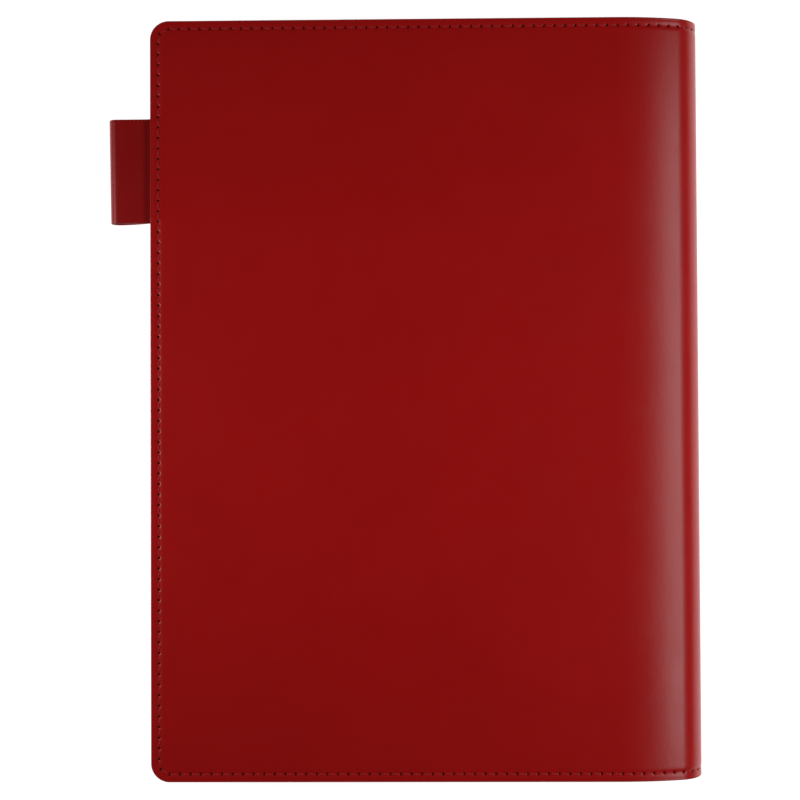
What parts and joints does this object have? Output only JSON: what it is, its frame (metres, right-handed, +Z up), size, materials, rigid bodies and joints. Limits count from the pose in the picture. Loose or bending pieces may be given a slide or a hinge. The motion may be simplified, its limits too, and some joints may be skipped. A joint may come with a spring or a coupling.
{
  "type": "notebook cover",
  "caption": "Soft leather cover for an A5 notebook, with a rounded spine, inner sleeves, card pockets, edge stitching and a pen loop.",
  "frame": {"origin": "middle of the bounding box's base, on the flat outer face of the front cover half", "axes": "+X from the fore-edge to the spine, +Y from tail to head, +Z up through the closed cover, from front half to back half"},
  "size_m": [0.1752, 0.224, 0.0234],
  "materials": {
    "cover_leather": "smooth red leather with a fine grain and a soft sheen",
    "sleeve_leather": "thinner red leather, slightly duller",
    "lining": "matt woven lining",
    "thread": "waxed thread, a little lighter than the leather",
    "board": "grey board stiffener, hidden"
  },
  "bodies": {
    "front_cover": {"front_cover_leather": "cover_leather", "front_stiffener_board": "board", "front_lining": "lining", "front_sleeve_panel": "sleeve_leather", "front_outer_seam_thread": "thread", "front_inner_seam_thread": "thread", "card_pocket_rear": "sleeve_leather", "card_pocket_middle": "sleeve_leather", "card_pocket_fore": "sleeve_leather"},
    "spine_1": {"spine_leather_1": "cover_leather", "spine_lining_1": "lining", "spine_head_thread_1": "thread", "spine_tail_thread_1": "thread"},
    "spine_2": {"spine_leather_2": "cover_leather", "spine_lining_2": "lining", "spine_head_thread_2": "thread", "spine_tail_thread_2": "thread"},
    "back_cover": {"back_cover_leather": "cover_leather", "back_stiffener_board": "board", "back_lining": "lining", "back_sleeve_panel": "sleeve_leather", "back_outer_seam_thread": "thread", "back_inner_seam_thread": "thread", "pen_loop_tab": "cover_leather"},
    "pen_loop": {"pen_loop": "cover_leather"}
  },
  "joints": [
    {"name": "cover_open", "type": "hinge", "parent": "front_cover", "child": "spine_1", "pos_m": [0.08325, 0, 0.00531], "axis": [0, 1, 0], "range_deg": [0, 60.8]},
    {"name": "spine_bend_2", "type": "hinge", "parent": "spine_1", "child": "spine_2", "pos_m": [0.08635, 0, 0.01219], "axis": [0, 1, 0], "range_deg": [0, 60.8]},
    {"name": "spine_bend_3", "type": "hinge", "parent": "spine_2", "child": "back_cover", "pos_m": [0.08297, 0, 0.01894], "axis": [0, 1, 0], "range_deg": [0, 60.8]},
    {"name": "pen_loop_flex", "type": "hinge", "parent": "back_cover", "child": "pen_loop", "pos_m": [-0.07572, 0.0677, 0.01586], "axis": [0, 1, 0], "range_deg": [-25, 25], "stiffness_Nm_per_rad": 0.01}
  ],
  "couplings": [
    {"joint": "spine_bend_2", "follows": "cover_open", "ratio": 1},
    {"joint": "spine_bend_3", "follows": "cover_open", "ratio": 1}
  ]
}
